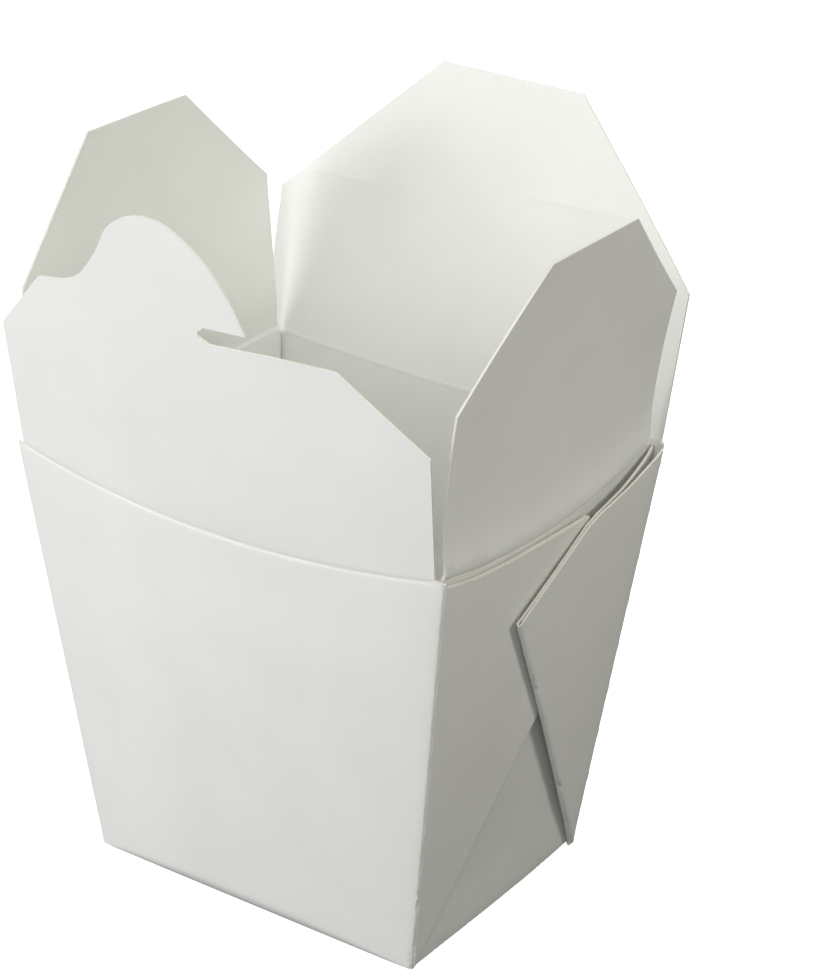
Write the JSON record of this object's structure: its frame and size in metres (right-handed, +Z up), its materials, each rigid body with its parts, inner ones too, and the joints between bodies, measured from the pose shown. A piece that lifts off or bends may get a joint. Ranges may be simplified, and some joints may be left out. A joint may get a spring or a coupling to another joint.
{
  "type": "french fry pail",
  "caption": "Open folded paperboard takeaway pail with a tapered tub, gusseted sides and four hinged closing flaps, one with a hooked locking tongue.",
  "frame": {"origin": "centre of the base's underside", "axes": "+Z up through the open top, -Y out of the front wall below the tongue flap, X along the longer side of the base"},
  "size_m": [0.1013, 0.0988, 0.1429],
  "materials": {
    "board": "white clay-coated folding board, smooth satin, with pale warm cut edges"
  },
  "bodies": {
    "tub": {"pail_body": "board"},
    "front_flap": {"front_flap": "board"},
    "back_flap": {"back_flap": "board"},
    "left_flap": {"left_flap": "board"},
    "right_flap": {"right_flap": "board"}
  },
  "joints": [
    {"name": "front_crease", "type": "hinge", "parent": "tub", "child": "front_flap", "pos_m": [0, -0.03578, 0.087], "axis": [-1, 0, 0], "range_deg": [-42, 95]},
    {"name": "back_crease", "type": "hinge", "parent": "tub", "child": "back_flap", "pos_m": [0, 0.03578, 0.087], "axis": [1, 0, 0], "range_deg": [-34, 105.5]},
    {"name": "left_crease", "type": "hinge", "parent": "tub", "child": "left_flap", "pos_m": [-0.04627, 0, 0.0858], "axis": [0, 1, 0], "range_deg": [-44, 94]},
    {"name": "right_crease", "type": "hinge", "parent": "tub", "child": "right_flap", "pos_m": [0.04627, 0, 0.0858], "axis": [0, -1, 0], "range_deg": [-38, 97]}
  ]
}
